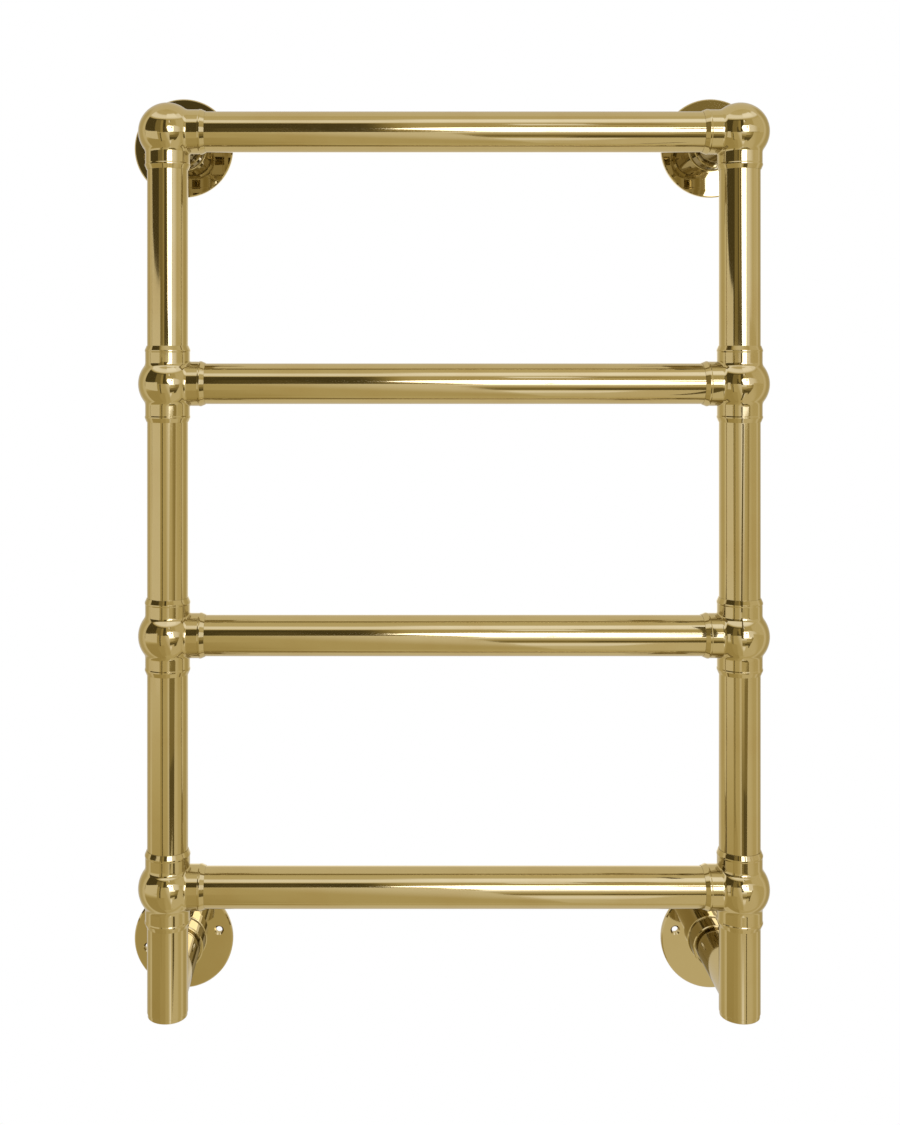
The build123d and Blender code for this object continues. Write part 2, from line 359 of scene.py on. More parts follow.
def square_face(axes):
    """Directions over one face of the dice: equal steps of angle both ways."""
    tangent = np.tan(np.linspace(-pi / 4, pi / 4, face_steps + 1))
    a, b = np.meshgrid(tangent, tangent, indexing="ij")
    rays = a[..., None] * axes[0] + b[..., None] * axes[1] + axes[2]
    return rays / np.linalg.norm(rays, axis=-1)[..., None]


def face_edge():
    """Azimuths round a face, and the angle from its axis to the square's edge at each."""
    azimuth = -pi / 4 + np.arange(4 * face_steps) * pi / 2 / face_steps
    nearest = np.maximum(np.abs(np.cos(azimuth)), np.abs(np.sin(azimuth)))
    return azimuth, np.arctan(1 / nearest)


def socket_section(waterway):
    """From the plain socket over lip, bevel and mouth to the shoulder, and on into the bore."""
    floor = bore_radius if waterway else 0.0
    corners = [
        (socket_radius, ring_start),
        (socket_radius, lip_start, 0.5),
        (lip_radius, lip_top, 0.4),
        (lip_radius, bevel_start, 0.35),
        (mouth_radius, socket_reach, 0.12),
        (tube_radius + braze_gap, socket_reach),
        (tube_radius + braze_gap, tube_stop),
        (floor, tube_stop),
    ]
    inside = bore_radius
    return part_of_section(corners, [(floor, inside), (socket_radius, inside)])


def fitting_patches(waterways, blind=()):
    """All patches of a fitting round the origin: outer skin, sockets, and the inner skin that the
    water sees. A socket's section is carried round it at the azimuths of the face's edge."""
    sockets = [*waterways, *blind]
    outer = (sockets, ball_radius, socket_radius, hollow_curve)
    inner = (waterways, bore_radius, bore_radius, 0)
    azimuth, edge = face_edge()
    patches = []
    for direction in np.concatenate([np.eye(3), -np.eye(3)]):
        axes = axes_for(direction)
        ring = circle(azimuth) @ axes[:2]
        has_socket, has_bore = (
            any(np.allclose(direction, way) for way in ways) for ways in (sockets, waterways)
        )
        if has_socket:
            rows = np.linspace(0, 1, skin_rows)[:, None]
            angle = edge + (atan(socket_radius / ring_start) - edge) * rows
            rays = np.cos(angle)[..., None] * axes[2] + np.sin(angle)[..., None] * ring
            patches.append(patch(*skin(rays, *outer)))
            section = socket_section(has_bore)
            carried = [part[:, None, :1] * ring + part[:, None, 1:] * axes[2] for part in section]
            patches.append(patch(*carried))
        else:
            patches.append(patch(*skin(square_face(axes), *outer), False))
        if has_bore:
            rim = np.cos(edge)[:, None] * axes[2] + np.sin(edge)[:, None] * ring
            rim = rim * skin_distance(rim, *inner)[:, None]
            shoulder = bore_radius * ring + tube_stop * axes[2]
            patches.append(patch(np.stack([rim, shoulder]), -ring))
        else:
            points, normals = skin(square_face(axes), *inner)
            patches.append(patch(points, -normals, False))
    return patches


# %% [markdown]
# ## The wall flanges
# A flange is a disc with a collar, turned in one piece. Two countersunk holes go through the
# disc and a threaded hole goes through the collar for the locking screw. A hole in a grid is
# made by giving a small window of the grid a patch of its own, whose rows shrink from the
# window's edge to the edge of the hole.

# %% Windows with a hole
flange_radius = 42.0
flange_thickness = 5.0
collar_radius = 18.8
collar_reach = 23.0
collar_bore = 16.08
bore_floor = 3.0
mouth_ring_radius = 17.2
mouth_ring_depth = 3.0
hole_window = 16                # steps each side of a screw hole
grub_window = 6                 # steps each side of the locking screw
window_inside = 20.0
screw_hole_radius = 2.75
countersink_radius = 4.1
grub_radius = 2.5
grub_height = 14.0
grub_window_height = 4.0
disc_rows, hole_rows = 6, 2     # across the disc, and from a window's edge to its screw hole
collar_rows, grub_rows = 8, 5   # the same on the collar
front_bevel, back_bevel = 1.0, 0.5
collar_bevel, collar_root = 0.7, 1.19
rim_inside, back_inside = flange_radius - front_bevel, flange_radius - back_bevel
band_low, band_high = grub_height - grub_window_height, grub_height + grub_window_height


def window_edge(columns, low, high, rows):
    """Walks round a window once: along its low side, up, back along its high side, and down."""
    low_side = np.stack([columns, np.full(len(columns), low)], 1)
    high_side = np.stack([columns[::-1], np.full(len(columns), high)], 1)
    climb = np.linspace(low, high, rows + 1)[1:-1]
    up = np.stack([np.full(rows - 1, columns[-1]), climb], 1)
    down = np.stack([np.full(rows - 1, columns[0]), climb[::-1]], 1)
    return np.concatenate([low_side, up, high_side, down])


def shrink(edge, hole, rows):
    """Rows of points from a window's edge to its hole, evenly spaced between them."""
    t = np.linspace(0, 1, rows + 1)[:, None, None]
    return edge * (1 - t) + hole * t


def disc_window(turn, outside, hole_radius, height):
    """The window round a screw hole in the disc, flat at the given height."""
    columns = turn + np.arange(-hole_window, hole_window + 1) * 2 * pi / segments
    edge = window_edge(columns, window_inside, outside, disc_rows)
    edge = edge[:, 1:] * circle(edge[:, 0])
    middle = screw_circle / 2 * circle(turn)
    round_hole = circle(np.arctan2(*(edge - middle).T[::-1]))
    return raised(shrink(edge, middle + hole_radius * round_hole, hole_rows), height), round_hole


def disc_rest(turn, outside, height):
    """The plain part of the disc between one screw hole's window and the next."""
    steps = np.arange(hole_window, segments // 2 - hole_window + 1)
    radius = np.linspace(window_inside, outside, disc_rows + 1)[:, None, None]
    return raised(radius * circle(turn + steps * 2 * pi / segments), height)


def screw_hole(front_round, back_round, turn):
    """A countersunk hole: a 45 degree cone, then a plain cylinder through to the back."""
    middle = screw_circle / 2 * circle(turn)
    cone_end = flange_thickness - (countersink_radius - screw_hole_radius)

    def leaning(round_hole, up):
        lean = raised(-round_hole, up)
        return lean / np.linalg.norm(lean, axis=1)[:, None]

    mouth = raised(middle + countersink_radius * front_round, flange_thickness)
    neck = raised(middle + screw_hole_radius * front_round, cone_end)
    foot = raised(middle + screw_hole_radius * back_round, 0.0)
    facing = np.stack([leaning(front_round, 0.0), leaning(back_round, 0.0)])
    return [
        patch(np.stack([mouth, neck]), leaning(front_round, 1.0)),
        patch(np.stack([neck, foot]), facing),
    ]


def collar_window(radius, turn, out):
    """The window round the locking screw's hole in the collar, on its outside or in its bore.
    A hole of radius g seen square on is radius * arcsin(g cos a / radius) wide along the wall."""
    columns = np.arange(-grub_window, grub_window + 1) * 2 * pi / segments
    edge = window_edge(columns * radius, band_low, band_high, collar_rows)
    angle = np.arctan2(edge[:, 1] - grub_height, edge[:, 0])
    hole_across = radius * np.arcsin(grub_radius * np.cos(angle) / radius)
    hole = np.stack([hole_across, grub_height + grub_radius * np.sin(angle)], 1)
    spread = shrink(edge, hole, grub_rows)
    normals = raised(circle(turn + spread[..., 0] / radius), 0.0)
    points = normals * radius
    points[..., 2] = spread[..., 1]
    return patch(points, normals * out), angle


def collar_rest(radius, turn, out):
    """The rest of the collar's band between the heights of the window."""
    steps = np.arange(grub_window, segments - grub_window + 1)
    normals = raised(circle(turn + steps * 2 * pi / segments), 0.0)
    heights = np.linspace(band_low, band_high, collar_rows + 1)[:, None, None] * z_axis
    return patch(normals * radius + heights, normals * out, False)


# %% A whole flange
def turned_parts():
    """The plain turned bands: rim, collar's root, mouth, bore's floor and middle of the back."""
    face, mouth_floor = flange_thickness, collar_reach - mouth_ring_depth
    rim = [
        (rim_inside, face),
        (flange_radius, face - front_bevel, 0.25),
        (flange_radius, back_bevel, 0.2),
        (back_inside, 0.0),
    ]
    root = [(window_inside, face), (collar_radius, face, collar_root), (collar_radius, band_low)]
    mouth = [
        (collar_radius, band_high),
        (collar_radius, collar_reach - collar_bevel, 0.3),
        (collar_radius - collar_bevel, collar_reach, 0.3),
        (mouth_ring_radius, collar_reach, 0.15),
        (mouth_ring_radius, mouth_floor),
        (collar_bore, mouth_floor),
        (collar_bore, band_high),
    ]
    floor = [(collar_bore, band_low), (collar_bore, bore_floor), (0.0, bore_floor)]
    under_root = [(collar_bore, band_low), (collar_bore, bore_floor), (window_inside, bore_floor)]
    middle = np.array([[window_inside, 0.0], [0.0, 0.0]]), np.array([[0.0, -1.0]] * 2)
    sections = [
        part_of_section(rim, [(window_inside, 0.0), (window_inside, face)]),
        part_of_section(root, under_root),
        part_of_section(mouth, []),
        part_of_section(floor, [(0.0, 0.0), (window_inside, 0.0), (window_inside, band_low)]),
        middle,
    ]
    return [turned(*section, np.zeros(3), np.eye(3)) for section in sections]


def flange_patches(centre, inward):
    """Disc, collar, bore and three holes. The local x axis runs through the screw holes."""
    axes = axes_for(-y_axis, [inward * cos(flange_turn), 0, sin(flange_turn)])
    patches = turned_parts()
    for turn in (0.0, pi):
        front, front_round = disc_window(turn, rim_inside, countersink_radius, flange_thickness)
        back, back_round = disc_window(turn, back_inside, screw_hole_radius, 0.0)
        patches.append(patch(front, z_axis))
        patches.append(patch(back, -z_axis))
        patches.append(patch(disc_rest(turn, rim_inside, flange_thickness), z_axis, False))
        patches.append(patch(disc_rest(turn, back_inside, 0.0), -z_axis, False))
        patches += screw_hole(front_round, back_round, turn)

    down = -inward * pi / 2
    outside, angle = collar_window(collar_radius, down, 1)
    inside, _ = collar_window(collar_bore, down, -1)
    patches += [outside, inside]
    patches += [collar_rest(collar_radius, down, 1), collar_rest(collar_bore, down, -1)]
    side = np.array([-sin(down), cos(down), 0.0])
    facing = -circle(angle) @ np.stack([side, z_axis])
    patches.append(patch(np.stack([outside[0][-1], inside[0][-1]]), facing))
    return [(p @ axes + centre, n @ axes, wrap) for p, n, wrap in patches]


# %% [markdown]
# ## The lower ends of the legs
# A threaded bush closes each leg. Its rim is the slightly smaller ring that shows below the
# tube. On the left a plug with a hexagon socket closes the port, and on the right the heating
# element's head, with the rubber gland that the cord would go through. All are turned, so each
# is one section, with its heights taken from the leg's lower end.

# %% Bush, head and gland
end_rim_radius = 15.5
rim_break = 0.6
head_radius = 12.3
head_low, head_high = 0.3, 2.7
port_radius = 9.5
thread_radius = 9.45
seat_radius, seat_depth = 12.6, 4.0
gland_radius, gland_length = 6.0, 8.0
gland_bore = 3.6
bush_top = 23.5
plug_end, element_body_end = 16.0, 18.0
spigot_radius = bore_radius - braze_gap
head_bore = gland_radius + braze_gap

bush_section = [
    (seat_radius, 0.0, 0.15),
    (end_rim_radius - rim_break, 0.0, 0.35),
    (end_rim_radius, rim_break, 0.35),
    (end_rim_radius, end_rim_length, 0.1),
    (spigot_radius, end_rim_length),
    (spigot_radius, bush_top, 0.3),
    (port_radius, bush_top, 0.3),
    (port_radius, seat_depth),
    (seat_radius, seat_depth),
]
element_head_section = [
    (head_bore, head_low, 0.1),
    (head_radius, head_low, 0.5),
    (head_radius, head_high),
    (thread_radius, head_high),
    (thread_radius, element_body_end, 0.4),
    (head_bore, element_body_end),
]
gland_section = [
    (gland_bore, head_low, 0.5),
    (gland_radius, head_low, 0.3),
    (gland_radius, head_low + gland_length, 0.2),
    (gland_bore, head_low + gland_length, 0.2),
]
print("port:", 2 * port_radius, "mm across, gland's bore:", 2 * gland_bore, "mm")

# %% [markdown]
# ## Hexagon sockets
# The plug and the four locking screws have a hexagon socket. Its mouth is a ring between a
# circle and a hexagon, cut in six equal sectors, so that no sector has to bend round a corner.

# %% A hexagon socket
plug_hex, plug_hex_end = 10.0, 8.3
plug_steps, plug_ring_radius = 24, 7.0
grub_hex, grub_hex_end = 2.5, 1.2
grub_steps, grub_ring_radius = 8, 1.8
grub_length, grub_sunk, grub_gap = 2.3, 0.35, 0.05


def hex_patches(across, mouth, floor, ring_radius, steps, origin, axes):
    """Mouth ring, six walls and floor. A side's distance at angle a is apothem / cos(a)."""
    patches = []
    for side in range(6):
        a = np.linspace(-pi / 6, pi / 6, steps + 1)
        ring = circle(a + side * pi / 3)
        reach = (across / 2 / np.cos(a))[:, None]
        facing = -np.array([cos(side * pi / 3), sin(side * pi / 3), 0.0])
        edge, foot = raised(reach * ring, mouth), raised(reach * ring, floor)
        mouth_ring, middle = raised(ring_radius * ring, mouth), raised(0 * ring, floor)
        patches.append(patch(np.stack([mouth_ring, edge]), -z_axis, False))
        patches.append(patch(np.stack([edge, foot]), facing, False))
        patches.append(patch(np.stack([foot, middle]), -z_axis, False))
    return [(p @ axes + origin, n @ axes, wrap) for p, n, wrap in patches]


def socketed(corners, steps, hexagon, origin, axes):
    """A turned piece with a hexagon socket in its first end: the section runs from the socket's
    mouth ring round the outside to the middle of the other end."""
    (ring_radius, mouth), (across, floor) = corners[0][:2], hexagon
    points, normals = part_of_section(corners, [(0.0, floor), (ring_radius, floor)])
    outside = turned(points, normals, origin, axes, 6 * steps)
    return [outside] + hex_patches(across, mouth, floor, ring_radius, steps, origin, axes)


# %% Plug and locking screw
def plug_patches(origin):
    """The plug: a wide head, a threaded body and a socket from below."""
    corners = [
        (plug_ring_radius, head_low),
        (head_radius, head_low, 0.5),
        (head_radius, head_high),
        (thread_radius, head_high),
        (thread_radius, plug_end, 0.4),
        (0.0, plug_end),
    ]
    return socketed(corners, plug_steps, (plug_hex, plug_hex_end), origin, axes_for(z_axis))


def grub_screw_patches(centre, inward):
    """A screw without a head, pointing at the stay from below, with its socket outwards."""
    across = np.array([inward * sin(flange_turn), 0, -cos(flange_turn)])
    radius = grub_radius - grub_gap
    corners = [
        (grub_ring_radius, 0.0),
        (radius, 0.0, 0.25),
        (radius, grub_length, 0.4),
        (0.0, grub_length),
    ]
    origin = np.array(centre) - grub_height * y_axis + (collar_radius - grub_sunk) * across
    axes = axes_for(-across, y_axis)
    return socketed(corners, grub_steps, (grub_hex, grub_hex_end), origin, axes)


print("hexagons:", plug_hex, "mm in the plug,", grub_hex, "mm in the locking screws")

# %% [markdown]
# ## Finishes
# Polished brass is a clear case for one shader: metallic 1, with a low roughness. What makes it
# look real is that it is not perfect. Drawn tube is buffed along its length, which leaves hair
# lines that way. Cast fittings are buffed in every direction, and the flat faces of the flanges
# come out a little sharper. All have faint cloudy patches where the polish or a hand has dulled
# them, and a surface that is not quite flat. Brass seen in another reflection, not by the camera,
# is given a darker colour: painted shade.

# %% Node helpers
def fill(tree, node, sockets):
    """Gives each named input socket its value, or a link where the value is a node's output."""
    for name, value in sockets.items():
        if isinstance(value, bpy.types.NodeSocket):
            tree.links.new(value, node.inputs[name])
        else:
            node.inputs[name].default_value = value


def add_node(tree, kind, sockets, **settings):
    """A shader node of one kind, with its settings and its input sockets."""
    node = tree.nodes.new("ShaderNode" + kind)
    for name, value in settings.items():
        setattr(node, name, value)
    fill(tree, node, sockets)
    return node


def new_group(name, inputs, outputs):
    """A shader node group with named sockets: (name, kind, default)."""
    group = bpy.data.node_groups.new(name, "ShaderNodeTree")
    for title, kind, default in inputs:
        socket = group.interface.new_socket(title, in_out="INPUT", socket_type=kind)
        if default is not None:
            socket.default_value = default
    for title, kind in outputs:
        group.interface.new_socket(title, in_out="OUTPUT", socket_type=kind)
    return group, group.nodes.new("NodeGroupInput"), group.nodes.new("NodeGroupOutput")


def add_noise(tree, vector, scale, detail, roughness=0.5):
    sockets = {"Vector": vector, "Scale": scale, "Detail": detail, "Roughness": roughness}
    return add_node(tree, "TexNoise", sockets).outputs["Fac"]


def add_math(tree, operation, *values):
    return add_node(tree, "Math", dict(enumerate(values)), operation=operation).outputs[0]


def add_range(tree, value, *limits):
    """Maps the stretch between the first two limits smoothly to that between the last two."""
    names = ("Value", "From Min", "From Max", "To Min", "To Max")
    sockets = dict(zip(names, (value, *limits)))
    return add_node(tree, "MapRange", sockets, interpolation_type="SMOOTHSTEP").outputs["Result"]


def add_bump(tree, height, strength, distance, **below):
    """Turns heights into a normal. A normal from another bump may go in below it."""
    sockets = {"Strength": strength, "Distance": distance, "Height": height, **below}
    return add_node(tree, "Bump", sockets).outputs["Normal"]


def add_mix(tree, factor, first, second):
    """Mixes two colours by a mask."""
    return add_node(tree, "Mix", {0: factor, 6: first, 7: second}, data_type="RGBA").outputs[2]


def add_float_mix(tree, factor, first, second):
    """Mixes two numbers by a mask."""
    return add_node(tree, "Mix", {0: factor, 2: first, 3: second}).outputs[0]


def object_place(tree):
    return tree.nodes.new("ShaderNodeTexCoord").outputs["Object"]


def new_material(name):
    material = bpy.data.materials.new(name)
    material.use_nodes = True
    tree = material.node_tree
    return material, tree, tree.nodes["Principled BSDF"]


# %% A node group for buffing marks
def buffing_group():
    """Marks are hair lines along the grain, Clouds are dull patches and Waves is the metal's own
    unevenness."""
    group, enter, leave = new_group(
        "buffing",
        [("Grain", "NodeSocketVector", None), ("Place", "NodeSocketVector", None)],
        [("Marks", "NodeSocketFloat"), ("Clouds", "NodeSocketFloat"), ("Waves", "NodeSocketFloat")],
    )
    grain, place = enter.outputs["Grain"], enter.outputs["Place"]
    cloud = add_noise(group, place, scale=22.0, detail=4.0, roughness=0.55)
    fill(group, leave, {
        "Marks": add_noise(group, grain, scale=1.0, detail=3.0, roughness=0.6),
        "Clouds": add_range(group, cloud, 0.42, 0.72, 0.0, 1.0),
        "Waves": add_noise(group, place, scale=9.0, detail=1.0, roughness=0.4),
    })
    return group


buffing = buffing_group()
print("node group:", buffing.name, [s.name for s in buffing.interface.items_tree])

# %% Polished brass
brass_colour = (0.80, 0.62, 0.26, 1.0)
brass_warm = (0.775, 0.585, 0.235, 1.0)
# Painted shade: brass seen in another reflection, not by the camera, takes this darker colour, so
# brass mirrored in brass looks shaded.
painted_shade_brass_for_reflections = (0.46, 0.40, 0.25, 1.0)
cloud_dullness = 0.03
wave_strength, wave_depth = 0.08, 0.0006
mark_strength, mark_depth = 0.02, 0.00002


def polished_brass(name, grain, gloss=(0.045, 0.065)):
    """grain is how many hair lines there are in a metre along each axis, gloss the roughness
    between the lines and on them."""
    material, tree, shader = new_material(name)
    place = object_place(tree)
    mapping = add_node(tree, "Mapping", {"Vector": place, "Scale": grain})
    sockets = {"Grain": mapping.outputs["Vector"], "Place": place}
    group = add_node(tree, "Group", sockets, node_tree=buffing)
    marks, clouds, waves = (group.outputs[n] for n in ("Marks", "Clouds", "Waves"))
    direct = add_mix(tree, clouds, brass_colour, brass_warm)
    seen_by_camera = tree.nodes.new("ShaderNodeLightPath").outputs["Is Camera Ray"]
    fine = add_range(tree, marks, 0.3, 0.7, *gloss)
    wavy = add_bump(tree, waves, wave_strength, wave_depth)
    fill(tree, shader, {
        # Painted shade: rays that are not the camera's get the darker brass colour instead of the
        # real one.
        "Base Color": add_mix(tree, seen_by_camera, painted_shade_brass_for_reflections, direct),
        "Metallic": 1.0,
        "Roughness": add_math(tree, "MULTIPLY_ADD", clouds, cloud_dullness, fine),
        "Normal": add_bump(tree, marks, mark_strength, mark_depth, Normal=wavy),
    })
    return material


fine_grain, long_grain, cast_grain = 2600.0, 30.0, (900.0, 900.0, 900.0)
brass = {
    "bar": polished_brass("drawn_brass_along_x", (long_grain, fine_grain, fine_grain)),
    "upright": polished_brass("drawn_brass_along_z", (fine_grain, fine_grain, long_grain)),
    "stay": polished_brass("drawn_brass_along_y", (fine_grain, long_grain, fine_grain)),
    "fitting": polished_brass("cast_brass", cast_grain),
    "flange": polished_brass("turned_brass", cast_grain, gloss=(0.020, 0.030)),
}
print("brass finishes:", ", ".join(m.name for m in brass.values()))

# %% [markdown]
# ## The other materials
# The parts inside the right leg keep their CAD meshes, because nobody sees them unless the rail
# is taken apart. Each still gets a finish of its own: brushed steel for the sheath, dull grey
# wire, matt rubber and unglazed ceramic.

# %% Steel, wire, rubber and ceramic
def textured(name, dark, light, scale, roughness, metallic, bump, stretch=(1, 1, 1)):
    """A plain finish from one noise: its colour runs from dark to light and its bump follows."""
    material, tree, shader = new_material(name)
    mapping = add_node(tree, "Mapping", {"Vector": object_place(tree), "Scale": stretch})
    noise = add_noise(tree, mapping.outputs["Vector"], scale, detail=5.0, roughness=0.6)
    mask = add_range(tree, noise, 0.3, 0.7, 0.0, 1.0)
    fill(tree, shader, {
        "Base Color": add_mix(tree, mask, dark, light),
        "Roughness": add_range(tree, noise, 0.3, 0.7, *roughness),
        "Metallic": metallic,
        "Normal": add_bump(tree, noise, 0.3, bump),
    })
    return material


steel = textured(
    "brushed_steel", (0.52, 0.52, 0.54, 1), (0.66, 0.66, 0.68, 1),
    scale=900, roughness=(0.28, 0.4), metallic=1.0, bump=0.00004, stretch=(1, 1, 0.03),
)
wire = textured(
    "resistance_wire", (0.3, 0.28, 0.27, 1), (0.5, 0.48, 0.46, 1),
    scale=1500, roughness=(0.4, 0.6), metallic=1.0, bump=0.00003,
)
rubber = textured(
    "sealing_rubber", (0.02, 0.02, 0.02, 1), (0.045, 0.044, 0.042, 1),
    scale=1400, roughness=(0.6, 0.85), metallic=0.0, bump=0.00006,
)
ceramic = textured(
    "ceramic", (0.78, 0.75, 0.68, 1), (0.88, 0.86, 0.8, 1),
    scale=1100, roughness=(0.55, 0.75), metallic=0.0, bump=0.00005,
)
slot_finish = {
    "brass_tube": brass["upright"],
    "brass_fitting": brass["fitting"],
    "stainless_steel": steel,
    "resistance_wire": wire,
    "sealing_rubber": rubber,
    "ceramic": ceramic,
}
for entry in frame["record"]["subparts"]:
    frame["nodes"][entry["node"]].material_slots[0].material = slot_finish[entry["material_slot"]]

# %% [markdown]
# ## Put every piece in its place
# Each new piece is fitted on the CAD node that it replaces, with the same centre and axis, and
# rides on that node's body. The four flanges with their locking screws ride on bodies of their
# own, so that they can turn on the stays.

# %% Bars, uprights and legs
def place(node, patches, slot, finish, body="rail_frame"):
    make_piece(node + "_finished", patches, body, slot, finish, [node])


tube_end = half_width - tube_stop
for i, bar in enumerate(bar_names):
    patches = tube_patches(-tube_end, tube_end, (0, axis_y, bar_z[i]), x_axis)
    place(f"{bar}_bar", patches, "brass_tube", brass["bar"])
for side, sign in sides.items():
    x = sign * half_width
    for i, upright in enumerate(["top", "middle", "lower"]):
        low, high = bar_z[i + 1] + tube_stop, bar_z[i] - tube_stop
        patches = tube_patches(low, high, (x, axis_y, 0), z_axis)
        place(f"{upright}_{side}_upright", patches, "brass_tube", brass["upright"])
    patches = tube_patches(bar_z[-1] - leg_length, bar_z[-1] - tube_stop, (x, axis_y, 0), z_axis)
    place(f"{side}_leg", patches, "brass_tube", brass["upright"])

# %% Ball fittings
for side, sign in sides.items():
    x, inward = sign * half_width, -sign * x_axis
    corner = fitting_patches([-z_axis, inward], [y_axis])
    tee = fitting_patches([z_axis, -z_axis, inward])
    for i, bar in enumerate(bar_names):
        node = f"{bar}_{side}_" + ("corner_ball" if i == 0 else "tee_ball")
        centre = np.array([x, axis_y, bar_z[i]])
        patches = [(p + centre, n, wrap) for p, n, wrap in (corner if i == 0 else tee)]
        place(node, patches, "brass_fitting", brass["fitting"])

# %% Stays, flanges and locking screws
stay_end = -6.0
for side, sign in sides.items():
    x, inward = sign * half_width, -sign
    for level, z in (("top", upper_stay_z), ("bottom", lower_stay_z)):
        if level == "top":
            patches = tube_patches(axis_y + tube_stop, stay_end, (x, 0, z), y_axis)
        else:
            patches = coped_patches(stay_end - axis_y, np.array([x, axis_y, z]))
        place(f"{level}_{side}_stay", patches, "brass_tube", brass["stay"])
        body = f"{level}_{side}_flange"
        centre = np.array([x, 0.0, z])
        flange = flange_patches(centre, inward)
        place(f"{level}_{side}_wall_flange", flange, "brass_fitting", brass["flange"], body)
        screw = grub_screw_patches(centre, inward)
        place(f"{level}_{side}_grub_screw", screw, "stainless_steel", steel, body)

# %% Lower ends of the legs
left_end, right_end = (np.array([sign * half_width, axis_y, end_z]) for sign in sides.values())


def leg_end(node, section, origin, slot="brass_fitting", finish=brass["fitting"]):
    place(node, [turned_loop(section, origin, axes_for(z_axis))], slot, finish)


leg_end("left_leg_end_bush", bush_section, left_end)
leg_end("right_leg_end_bush", bush_section, right_end)
place("blanking_plug", plug_patches(left_end), "brass_fitting", brass["fitting"])
leg_end("element_head", element_head_section, right_end)
leg_end("cable_gland", gland_section, right_end, "sealing_rubber", rubber)

# %% [markdown]
# ## The studio
# Polished brass has hardly a colour of its own: it shows the room, tinted gold. So the room is
# built with care. The stripes on the tubes tell where things stood: a thing far away is seen
# in the same direction from every bar, and a near one is seen higher from a lower bar. Far
# things are painted in the world by direction. Near things are cards, and the window is a
# bright one.
#
# The world is white for the camera, which gives the plain background. Metal sees that white
# where it really lies behind the rail, and the painted room in all other directions.

# %% Soft-edged cards
card_sockets = ("Across", "Up", "Left", "Right", "Low", "High", "Soft")


def soft_card_group():
    """1 inside a rectangle and 0 outside it, with soft edges. Across and Up are the direction
    to test, in degrees."""
    inputs = [(name, "NodeSocketFloat", 0.0) for name in card_sockets]
    group, enter, leave = new_group("soft_card", inputs, [("Mask", "NodeSocketFloat")])
    across, up, left, right, low, high, soft = (enter.outputs[name] for name in card_sockets)
    half_soft = add_math(group, "MULTIPLY", soft, 0.5)

    def step(value, edge):
        """Rises from 0 to 1 as value passes edge, over the width of the softness."""
        start = add_math(group, "SUBTRACT", edge, half_soft)
        stop = add_math(group, "ADD", edge, half_soft)
        return add_range(group, value, start, stop, 0.0, 1.0)

    inside_a = add_math(group, "SUBTRACT", step(across, left), step(across, right))
    inside_u = add_math(group, "SUBTRACT", step(up, low), step(up, high))
    fill(group, leave, {"Mask": add_math(group, "MULTIPLY", inside_a, inside_u)})
    return group


def add_card(tree, across, up, *edges):
    """The mask of one card: its left, right, low and high edge and their softness."""
    sockets = dict(zip(card_sockets, (across, up, *edges)))
    return add_node(tree, "Group", sockets, node_tree=soft_card).outputs["Mask"]


soft_card = soft_card_group()
print("node group:", soft_card.name, card_sockets)

# %% The colour of light in the room
# Dim things in the room are lit warmly and bright things by daylight. Brightness, then colour.
light_colours = [
    (0.08, (1.0, 0.85, 0.45)),
    (0.35, (1.0, 0.87, 0.50)),
    (0.52, (1.0, 0.94, 0.75)),
    (0.76, (1.0, 1.05, 1.38)),
    (1.00, (1.0, 1.10, 1.65)),
]


def light_colour(tree, brightness):
    """The colour of a thing in the room from its brightness, by way of a colour ramp."""
    ramp = add_node(tree, "ValToRGB", {"Fac": brightness})
    stops = ramp.color_ramp.elements
    while len(stops) < len(light_colours):
        stops.new(0.5)
    for stop, (at, tone) in zip(stops, light_colours):
        stop.position, stop.color = at, (*tone, 1.0)
    return ramp.outputs["Color"]


def glow_colour(brightness):
    """The same colour times the brightness, worked out for a thing of one brightness."""
    levels, tones = zip(*light_colours)
    glow = [brightness * np.interp(brightness, levels, channel) for channel in zip(*tones)]
    return (*glow, 1.0)


print("window light:", [round(float(c), 2) for c in glow_colour(1.0)])

# %% The far room, painted in the world
# Each card: left, right, low, high, softness, brightness. Azimuth is 0 straight in front of the
# rail and grows to the right, elevation grows upwards. All are in degrees.
room_level = 0.50
wall_level = 0.60
far_cards = {
    "front_left": (-91, 0, -80, 20, 6, 0.50),
    "front_right": (0, 91, -80, 20, 6, 0.52),
    "ceiling_far": (-181, 181, 50, 84, 28, 0.55),
    "ceiling_near": (-100, 100, 45, 61, 7, 0.84),
    "ceiling_right": (3, 60, 50, 66, 7, 0.94),
    "dark_doorway": (-95, 1.2, -20, 41, 3, 0.07),
    "over_window": (1.2, 91, -20, 41, 3, 0.46),
    "right_wall": (42, 91, -20, 41, 8, 0.56),
    "grey_curtain": (-42, -20, -20, 38, 3, 0.21),
    "brown_curtain": (-20, -10.5, -20, 38, 3, 0.33),
    "pale_side": (-120, -26, -60, -7, 4, 0.64),
    "pale_side_low": (-120, -20, -90, -17.5, 15, 0.38),
}
# Beside and behind the rail, where azimuth runs on from 180 to 360.
rear_cards = {
    "right_corner": (106, 138, -60, 46, 16, 0.44),
    "left_corner": (222, 254, -60, 46, 16, 0.48),
}
background_card = (160, 194, -16, 16, 12)


def emptied_tree(owner):
    """The node tree of a material or a world, without its first nodes."""
    owner.use_nodes = True
    owner.node_tree.nodes.clear()
    return owner.node_tree


